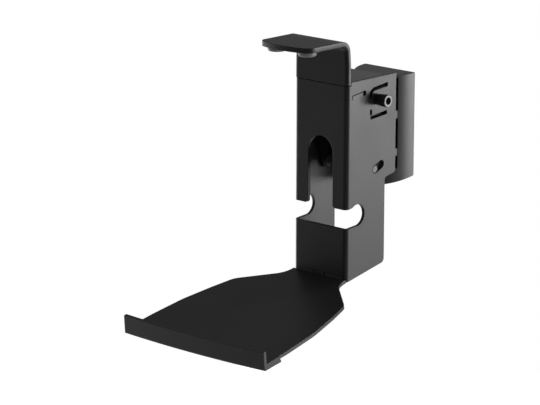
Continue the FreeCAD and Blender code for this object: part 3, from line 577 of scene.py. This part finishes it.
@dataclass
class Arm(SubAssembly):
    """Finer pieces of the arm: black strips that paint the shadowed gap behind the side walls,
    clamp screw and lip screws.
    """

    clamp_inner_end: float = 16.5
    clamp_depth: float = 38.3
    clamp_rise: float = -16.4
    clamp_sides: int = 60
    shelf_slope: float = 11.2
    shelf_drop: float = 169.0
    lip_screw_count: int = 3
    lip_screw_pitch: float = 60.0
    lip_screw_reach: float = 150.9
    lip_screw_under: float = 5.0
    lip_radius: float = 1344.0
    strip_weld: float = 0.002
    strip_bulge: float = 0.7
    strip_depth: float = 0.4

    def build(self) -> None:
        """Makes every finer piece of the arm."""
        self.painted_shadow_strips()
        self.clamp_screw()
        self.lip_screws()

    def painted_shadow_strips(self) -> None:
        """The record's rubber strips behind the side walls, made pitch black and bulged a little
        past them, so that they paint the shadowed gap between column and cover.
        """
        work = bmesh.new()
        work.from_mesh(frame["nodes"]["rear_edge_strips"].data)
        bmesh.ops.remove_doubles(work, verts=work.verts, dist=self.strip_weld * MM)
        rear = max(vert.co.y for vert in work.verts)
        front = min(vert.co.y for vert in work.verts)
        outer = max(vert.co.x for vert in work.verts)
        # Pushing the strips back and out widens the painted shadow of the gap.
        for vert in work.verts:
            if vert.co.y > (rear + front) / 2:
                vert.co.y += self.strip_depth * MM
            if abs(vert.co.x) > outer - self.strip_bulge * MM:
                vert.co.x += math.copysign(self.strip_bulge * MM, vert.co.x)
        piece = mesh_piece(work, "rear_strips_dressed", self.wardrobe.by_slot[Slot.RUBBER])
        hand_over(piece, Body.ARM, Slot.RUBBER, "rear_edge_strips")

    def clamp_screw(self) -> None:
        """Round-headed screw with a deep round mouth and a hexagon socket at its bottom."""
        shape = Turned("clamp_turned", CLAMP_RINGS, sides=self.clamp_sides).shape()
        start = (self.clamp_inner_end, self.front + self.clamp_depth,
                 self.seam + self.clamp_rise)
        row = Row("clamp_screw_dressed", 1, start, (1.0, 0.0, 0.0), stand=(0.0, QUARTER, 0.0))
        piece = row.build(shape, self.wardrobe.by_slot[Slot.SCREW])
        hand_over(piece, Body.ARM, Slot.SCREW, "clamp_screw")

    def lip_screws(self) -> None:
        """Countersunk socket screws along the lip's bowed foot."""
        shape = Turned("lip_turned", LIP_SCREW_RINGS).shape()
        start = (-self.lip_screw_pitch, -self.lip_screw_reach, -self.lip_screw_under)
        row = Row("lip_screws_dressed", self.lip_screw_count, start,
                  (self.lip_screw_pitch, 0.0, 0.0), bow=1.0 / (2 * self.lip_radius * MM),
                  lean=self.shelf_slope,
                  place=(0.0, self.front, self.seam - self.shelf_drop))
        piece = row.build(shape, self.wardrobe.by_slot[Slot.SCREW])
        hand_over(piece, Body.ARM, Slot.SCREW, "lip_screws")


@dataclass
class Hook(SubAssembly):
    """Sliding top hook with its pads.

    The stations are the heights of the rows of points on the upright leg, and the shares are
    how far out they lie on the top leg. The ease is how they spread from the middle to a side.
    """

    thickness: float = 4.4
    height: float = 38.8
    inner_bend: float = 4.8
    half_width: float = 30.0
    top_half_width: float = 28.8
    taper: Pair = (15.0, 37.0)
    edge_radius: float = 3.0
    top_edge_radius: float = 0.5
    side_reach: float = 45.6
    middle_reach: float = 51.0
    tip_radius: float = 6.0
    joint_gap: float = 0.35
    sharp: float = 35.0
    ease: tuple[float, ...] = (0.0, 0.3, 0.6, 0.72, 0.78, 0.84, 0.88, 0.9, 0.93, 0.955, 0.975,
                               0.99, 0.997, 1.0)
    stations: tuple[float, ...] = (8.0, 15.0, 18.0, 21.0, 24.0, 27.0)
    bend_steps: int = 9
    shares: tuple[float, ...] = (0.25, 0.5, 0.75, 1.0)
    pad_thickness: float = 4.5
    pad_radius: float = 7.9
    pad_pitch: float = 34.4
    pad_reach: float = 36.7
    pad_rim: float = 1.9
    pad_rim_steps: int = 6
    pad_middle: float = 0.4

    def build(self) -> None:
        """Makes the hook and its two pads."""
        self.plate()
        self.pads()

    def plate(self) -> None:
        """Bent plate: rows of points from the joint line up, round the bend and out."""
        work = bmesh.new()
        rows = [[[work.verts.new(point) for point in side] for side in row]
                for row in self.rows()]
        for (front_low, back_low), (front_high, back_high) in zip(rows, rows[1:]):
            self.strip(work, front_low, front_high)
            self.strip(work, back_low, back_high)
            for end in (0, -1):
                work.faces.new((front_low[end], front_high[end], back_high[end], back_low[end]))
        for front, back in (rows[0], rows[-1]):
            self.strip(work, front, back)
        bmesh.ops.recalc_face_normals(work, faces=work.faces)
        for face in work.faces:
            face.smooth = True
        mark_sharp(work, self.sharp)
        piece = mesh_piece(work, "top_hook_dressed", self.wardrobe.by_slot[Slot.COAT])
        hand_over(piece, Body.HOOK, Slot.COAT, "top_hook")

    @staticmethod
    def strip(work: bmesh.types.BMesh, first: Sequence[bmesh.types.BMVert],
              second: Sequence[bmesh.types.BMVert]) -> None:
        """Joins two equal rows of points by four-sided faces."""
        for index in range(len(first) - 1):
            work.faces.new((first[index], first[index + 1], second[index + 1], second[index]))

    def rows(self) -> list[tuple[list[Vector], list[Vector]]]:
        """Lists the rows of the plate.

        Returns:
            For each station along the plate, the points of its front or lower face and of its
            rear or upper face, in metres.
        """
        bend_height = self.height - self.thickness - self.inner_bend
        outer_bend = self.inner_bend + self.thickness
        found = []
        for rise in (self.joint_gap, *self.stations, bend_height):
            found.append(self.row((0.0, rise), (self.thickness, rise), self.edge_radius, 0.0))
        for step in range(1, self.bend_steps + 1):
            part = step / self.bend_steps
            turn = math.radians(QUARTER * part)
            edge = self.edge_radius + (self.top_edge_radius - self.edge_radius) * part
            inner = (self.inner_bend * (math.cos(turn) - 1),
                     bend_height + self.inner_bend * math.sin(turn))
            outer = (outer_bend * math.cos(turn) - self.inner_bend,
                     bend_height + outer_bend * math.sin(turn))
            found.append(self.row(inner, outer, edge, 0.0))
        under = (-self.inner_bend, self.height - self.thickness)
        above = (-self.inner_bend, self.height)
        for share in self.shares:
            found.append(self.row(under, above, self.top_edge_radius, share))
        return found

    def row(self, near: Pair, far: Pair, edge: float,
            share: float) -> tuple[list[Vector], list[Vector]]:
        """Works out one row.

        Args:
            near: Depth and height of the front or lower face.
            far: Depth and height of the rear or upper face.
            edge: Rounding of the front face's side edges.
            share: How far out towards the bowed front edge, from 0 to 1.

        Returns:
            The points of the two faces.
        """
        across = [-value for value in reversed(self.ease[1:])] + list(self.ease)
        sides = []
        for face, (depth, rise) in enumerate((near, far)):
            points = []
            for place in across:
                x = place * self.width_at(rise)
                sink = self.rounding(abs(x), self.width_at(rise), edge) if face == 0 else 0.0
                y = depth + sink * (far[0] - near[0]) / self.thickness
                z = rise + sink * (far[1] - near[1]) / self.thickness
                y += share * (self.reach_at(x) - y)
                points.append(Vector((x, self.front + y, self.seam + z)) * MM)
            sides.append(points)
        return sides[0], sides[1]

    def width_at(self, rise: float) -> float:
        """Half the plate's width at a height: a little narrower at the top."""
        low, high = self.taper
        part = min(max((rise - low) / (high - low), 0.0), 1.0)
        part = part * part * (3 - 2 * part)
        return self.half_width + part * (self.top_half_width - self.half_width)

    def reach_at(self, x: float) -> float:
        """Depth of the bowed front edge, with its rounded corners, at a place over the width."""
        half = self.top_half_width
        sag = self.middle_reach - self.side_reach
        radius = (half ** 2 + sag ** 2) / (2 * sag)
        bow = math.sqrt(radius ** 2 - min(abs(x), half) ** 2) - (radius - sag)
        return -self.side_reach - bow + self.rounding(abs(x), half, self.tip_radius)

    @staticmethod
    def rounding(x: float, half: float, radius: float) -> float:
        """How far a rounded corner falls back at a distance from the middle."""
        over = min(max(x - (half - radius), 0.0), radius)
        return radius - math.sqrt(max(radius ** 2 - over ** 2, 0.0))

    def pads(self) -> None:
        """Low round bumpers with a softly rounded lower rim."""
        rings = [Ring(self.pad_radius, self.pad_thickness)]
        for step in range(self.pad_rim_steps + 1):
            turn = math.radians(QUARTER * step / self.pad_rim_steps)
            rings.append(Ring(self.pad_radius - self.pad_rim * (1 - math.cos(turn)),
                              self.pad_rim * (1 - math.sin(turn))))
        rings.append(Ring(self.pad_radius * self.pad_middle, 0.0))
        shape = Turned("pad_turned", tuple(rings)).shape()
        underside = self.seam + self.height - self.thickness
        start = (-self.pad_pitch / 2, self.front - self.pad_reach,
                 underside - self.pad_thickness)
        row = Row("hook_pads_dressed", 2, start, (self.pad_pitch, 0.0, 0.0))
        piece = row.build(shape, self.wardrobe.pads)
        hand_over(piece, Body.HOOK, Slot.RUBBER, "hook_pads")


PIN_RINGS = (
    Ring(4.9, 22.0), Ring(5.2, 22.3), Ring(5.2, 23.5),      # collar inside the yoke's cheek
    Ring(3.58, 23.5), Ring(3.58, 26.5),                     # pin through the cheek
    Ring(3.25, 26.7), Ring(3.25, 29.4),                     # head in the column's slot
    Ring(3.15, 29.65), Ring(2.9, 29.75),                    # rounded rim
)


@dataclass
class Yoke(SubAssembly):
    """Finer pieces of the swivel yoke: its two limit pins."""

    pin_depth: float = 37.3
    pin_rise: float = -77.9

    def build(self) -> None:
        """Makes the pins, which point away from each other."""
        shape = Turned("pin_turned", PIN_RINGS).shape()
        start = (0.0, self.front + self.pin_depth, self.seam + self.pin_rise)
        row = Row("limit_pins_dressed", 2, start, (0.0, 0.0, 0.0),
                  stand=(0.0, QUARTER, 0.0), turn=(0.0, 2 * QUARTER, 0.0))
        piece = row.build(shape, self.wardrobe.by_slot[Slot.PIN])
        hand_over(piece, Body.YOKE, Slot.PIN, "limit_pins")


# Studio


@dataclass(frozen=True)
class Lamp:
    """One rectangular soft lamp, in metres; at level 1 it looks white."""

    name: str
    place: Triple
    size: Pair
    level: float

    def build(self, aim: Triple) -> None:
        """Adds the lamp, facing a point."""
        data = bpy.data.lights.new(self.name, "AREA")
        data.shape = "RECTANGLE"
        data.size, data.size_y = self.size
        data.energy = self.level * math.pi * self.size[0] * self.size[1]
        lamp = bpy.data.objects.new(self.name, data)
        bpy.context.scene.collection.objects.link(lamp)
        lamp.location = self.place
        towards = Vector(aim) - Vector(self.place)
        lamp.rotation_euler = towards.to_track_quat("-Z", "Y").to_euler()


LAMPS = (
    Lamp("side", (1.58, 1.24, -0.20), (1.4, 0.55), 14.2),
    Lamp("left", (-1.60, -0.15, -0.40), (1.5, 0.9), 2.3),
    Lamp("back", (0.53, 1.50, 1.42), (0.8, 0.8), 6.0),
)


@dataclass(frozen=True)
class Studio:
    """Camera, world, floor and lamps, in metres.

    The camera is the one solved from the photograph's straight edges. The levels are those of
    the world's soft light, its walls and its darkest side. The backdrop is the direction in
    which reflections meet a white wall; its edge and top are where that wall fades out.
    """

    camera_place: Triple = (1.6647, -1.9698, 0.5649)
    camera_right: Triple = (0.73660, 0.67632, 0.00298)
    camera_up: Triple = (-0.16513, 0.17557, 0.97051)
    lens: float = 200.86
    sensor: float = 36.0
    clip: Pair = (0.1, 50.0)
    floor_drop: float = 0.35
    floor_reach: float = 1.0
    floor_middle: Pair = (0.0, -0.1)
    floor_sides: int = 96
    floor_shade: float = 0.9
    floor_roughness: float = 0.9
    floor_glow: float = 0.55
    soft_level: float = 0.55
    wall_level: float = 0.18
    dark_level: float = 0.02
    wall_fade: Pair = (-1.0, 0.3)
    backdrop: Triple = (-0.676, 0.737, 0.0)
    backdrop_edge: Pair = (0.62, 0.85)
    backdrop_top: Pair = (0.30, -0.08)
    aim: Triple = (0.0, -0.1, -0.03)

    def build(self) -> None:
        """Sets up everything around the bracket."""
        self.camera()
        self.world()
        self.floor()
        for lamp in LAMPS:
            lamp.build(self.aim)
        bpy.context.scene.view_settings.view_transform = "Standard"

    def camera(self) -> None:
        """Places the camera at the photograph's viewing angle."""
        data = bpy.data.cameras.new("view")
        data.lens = self.lens
        data.sensor_width = self.sensor
        data.sensor_fit = "HORIZONTAL"
        data.clip_start, data.clip_end = self.clip
        camera = bpy.data.objects.new("view", data)
        bpy.context.scene.collection.objects.link(camera)
        right = Vector(self.camera_right)
        back = right.cross(Vector(self.camera_up)).normalized()
        up = back.cross(right).normalized()
        turn = Matrix((right.normalized(), up, back)).transposed()
        camera.matrix_world = Matrix.Translation(self.camera_place) @ turn.to_4x4()
        bpy.context.scene.camera = camera

    def world(self) -> None:
        """White for the camera, a studio with a white wall for reflections, soft grey light."""
        world = bpy.data.worlds.new("studio")
        bpy.context.scene.world = world
        world.use_nodes = True
        tree = world.node_tree
        tree.nodes.clear()
        path = add_node(tree, "ShaderNodeLightPath")
        seen = self.joined(tree, "MAXIMUM", path.outputs["Is Camera Ray"],
                           path.outputs["Is Transmission Ray"])
        soft = self.plain_light(tree, self.soft_level)
        white = self.plain_light(tree, 1.0)
        studio = self.plain_light(tree, 1.0)
        link(tree, self.studio_level(tree), studio.inputs["Strength"])
        inner = self.either(tree, path.outputs["Is Glossy Ray"], soft, studio)
        outer = self.either(tree, seen, inner, white)
        out = add_node(tree, "ShaderNodeOutputWorld")
        link(tree, outer.outputs[0], out.inputs["Surface"])

    @staticmethod
    def plain_light(tree: bpy.types.NodeTree, level: float) -> bpy.types.Node:
        """Adds a colourless background of one level."""
        return add_node(tree, "ShaderNodeBackground",
                        {"Color": (1.0, 1.0, 1.0, 1.0), "Strength": level})

    @staticmethod
    def either(tree: bpy.types.NodeTree, choice: bpy.types.NodeSocket, first: bpy.types.Node,
               second: bpy.types.Node) -> bpy.types.Node:
        """Adds a mix of two lights, which is the second where the choice is 1."""
        mix = add_node(tree, "ShaderNodeMixShader")
        link(tree, choice, mix.inputs[0])
        link(tree, first.outputs[0], mix.inputs[1])
        link(tree, second.outputs[0], mix.inputs[2])
        return mix

    def studio_level(self, tree: bpy.types.NodeTree) -> bpy.types.NodeSocket:
        """Level of the studio by direction: the white wall, and dimmer walls round it."""
        place = add_node(tree, "ShaderNodeTexCoord")
        towards = add_node(tree, "ShaderNodeVectorMath", {1: self.backdrop}, "DOT_PRODUCT")
        link(tree, place.outputs["Generated"], towards.inputs[0])
        split = add_node(tree, "ShaderNodeSeparateXYZ")
        link(tree, place.outputs["Generated"], split.inputs[0])
        turned = towards.outputs["Value"]
        walls = self.graded(tree, turned, self.wall_fade, (self.dark_level, self.wall_level))
        wide = self.graded(tree, turned, self.backdrop_edge, (0.0, 1.0))
        high = self.graded(tree, split.outputs["Z"], self.backdrop_top, (0.0, 1.0))
        return self.joined(tree, "MAXIMUM", walls, self.joined(tree, "MULTIPLY", wide, high))

    @staticmethod
    def joined(tree: bpy.types.NodeTree, operation: str, first: bpy.types.NodeSocket,
               second: bpy.types.NodeSocket) -> bpy.types.NodeSocket:
        """Joins two values by one operation."""
        node = add_node(tree, "ShaderNodeMath", operation=operation)
        link(tree, first, node.inputs[0])
        link(tree, second, node.inputs[1])
        return node.outputs[0]

    @staticmethod
    def graded(tree: bpy.types.NodeTree, source: bpy.types.NodeSocket, start: Pair,
               end: Pair) -> bpy.types.NodeSocket:
        """Eases a node's value from one range to another."""
        fade = add_node(tree, "ShaderNodeMapRange",
                        {"From Min": start[0], "From Max": start[1],
                         "To Min": end[0], "To Max": end[1]})
        fade.interpolation_type = "SMOOTHSTEP"
        link(tree, source, fade.inputs["Value"])
        return fade.outputs["Result"]

    def floor(self) -> None:
        """Lays a round pale floor below the bracket, which keeps its shadow."""
        low = CAD_BOX[0][2] - self.floor_drop
        work = bmesh.new()
        bmesh.ops.create_circle(work, cap_ends=True, segments=self.floor_sides,
                                radius=self.floor_reach,
                                matrix=Matrix.Translation((*self.floor_middle, low)))
        mesh_piece(work, "floor", self.floor_material())

    def floor_material(self) -> bpy.types.Material:
        """Pale matt floor that looks nearly white to the camera without lighting the object."""
        material = bpy.data.materials.new("pale_floor")
        material.use_nodes = True
        tree = material.node_tree
        shader = tree.nodes["Principled BSDF"]
        shader.inputs["Base Color"].default_value = (*[self.floor_shade] * 3, 1.0)
        shader.inputs["Roughness"].default_value = self.floor_roughness
        shader.inputs["Specular IOR Level"].default_value = 0.0
        path = add_node(tree, "ShaderNodeLightPath")
        seen = add_node(tree, "ShaderNodeMath", {1: self.floor_glow}, "MULTIPLY")
        link(tree, path.outputs["Is Camera Ray"], seen.inputs[0])
        glow = add_node(tree, "ShaderNodeEmission")
        link(tree, seen.outputs[0], glow.inputs["Strength"])
        both = add_node(tree, "ShaderNodeAddShader")
        link(tree, shader.outputs[0], both.inputs[0])
        link(tree, glow.outputs[0], both.inputs[1])
        link(tree, both.outputs[0], tree.nodes["Material Output"].inputs["Surface"])
        return material


def main() -> None:
    """Dresses the bracket and sets up the studio."""
    wardrobe = Wardrobe()
    wardrobe.dress_frame()
    for part in (Arm, Hook, Yoke):
        LOG.info("sub-assembly %s", part.__name__)
        part(wardrobe).build()
    Studio().build()


if __name__ == "__main__":
    main()
